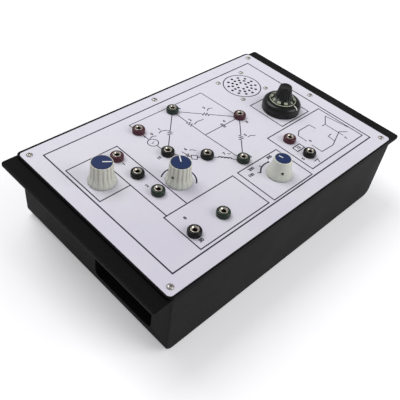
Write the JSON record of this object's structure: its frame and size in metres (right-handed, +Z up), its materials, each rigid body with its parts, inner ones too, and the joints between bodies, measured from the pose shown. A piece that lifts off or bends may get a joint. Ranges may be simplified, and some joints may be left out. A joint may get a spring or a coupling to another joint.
{
  "type": "anderson bridge trainer",
  "caption": "Bench trainer for measuring inductance with an AC bridge: black moulded case, white printed panel with sockets, knobs, a counting dial and a speaker grille.",
  "frame": {"origin": "middle of the overall bounding box, on the surface that the case stands on", "axes": "+X to the user's right, +Y to the back, +Z up; the user sits at -Y"},
  "size_m": [0.3326, 0.2038, 0.1036],
  "materials": {
    "case_plastic": "textured",
    "panel_print": "satin, printed with dark lines",
    "nickel": "nickel plate",
    "steel": "plain",
    "core_steel": "varnished laminations",
    "black_plastic": "satin",
    "maroon_plastic": "satin",
    "green_plastic": "satin",
    "knob_grey": "fine matte",
    "knob_blue": "satin",
    "board_green": "solder mask",
    "paper": "paper cone"
  },
  "bodies": {
    "root": {"case": "case_plastic", "front_panel": "panel_print", "circuit_board": "board_green", "transformer": "core_steel", "speaker_frame": "steel", "speaker_cone": "paper", "dial_ring": "black_plastic", "mains_inlet": "black_plastic", "switch_housing": "black_plastic", "panel_screw_front_left": "nickel", "panel_screw_front_right": "nickel", "panel_screw_right_middle": "nickel", "panel_screw_back_right": "nickel", "panel_screw_back_middle": "nickel", "panel_screw_back_left": "nickel", "socket_bridge_top": "green_plastic", "contact_bridge_top": "nickel", "socket_generator": "maroon_plastic", "contact_generator": "nickel", "socket_bridge_left": "black_plastic", "contact_bridge_left": "nickel", "socket_bridge_right": "maroon_plastic", "contact_bridge_right": "nickel", "socket_bridge_node": "black_plastic", "contact_bridge_node": "nickel", "socket_bridge_bottom": "green_plastic", "contact_bridge_bottom": "nickel", "socket_supply_high": "maroon_plastic", "contact_supply_high": "nickel", "socket_supply_mid": "black_plastic", "contact_supply_mid": "nickel", "socket_supply_low": "green_plastic", "contact_supply_low": "nickel", "socket_coil_common": "black_plastic", "contact_coil_common": "nickel", "socket_coil_live": "green_plastic", "contact_coil_live": "nickel", "socket_detector_high": "maroon_plastic", "contact_detector_high": "nickel", "socket_detector_low": "black_plastic", "contact_detector_low": "nickel", "supply_control": "steel", "resistor_control": "steel", "selector_control": "steel", "dial_control": "steel"},
    "supply_turner": {"supply_knob": "knob_grey", "supply_knob_cap": "knob_blue", "supply_set_screw": "steel", "supply_shaft": "steel"},
    "resistor_turner": {"resistor_knob": "knob_grey", "resistor_knob_cap": "knob_blue", "resistor_set_screw": "steel", "resistor_shaft": "steel"},
    "selector_turner": {"selector_knob": "knob_grey", "selector_knob_cap": "knob_blue", "selector_set_screw": "steel", "selector_shaft": "steel"},
    "dial_turner": {"dial_knob": "black_plastic", "dial_shaft": "steel"},
    "rocker": {"power_rocker": "black_plastic"}
  },
  "joints": [
    {"name": "supply_turn", "type": "hinge", "parent": "root", "child": "supply_turner", "pos_m": [-0.114, 0.02427, 0.0766], "axis": [0, 0, 1], "range_deg": [-30, 270]},
    {"name": "resistor_turn", "type": "hinge", "parent": "root", "child": "resistor_turner", "pos_m": [-0.0621, -0.01512, 0.0766], "axis": [0, 0, 1], "range_deg": [-112, 188]},
    {"name": "selector_turn", "type": "hinge", "parent": "root", "child": "selector_turner", "pos_m": [0.0165, -0.06348, 0.0766], "axis": [0, 0, 1], "range_deg": [0, 60]},
    {"name": "dial_turn", "type": "hinge", "parent": "root", "child": "dial_turner", "pos_m": [0.0969, 0.00106, 0.0766], "axis": [0, 0, 1], "range_deg": [-150, 150]},
    {"name": "rocker_tilt", "type": "hinge", "parent": "root", "child": "rocker", "pos_m": [0.0645, 0.09656, 0.0393], "axis": [1, 0, 0], "range_deg": [0, 16]}
  ]
}
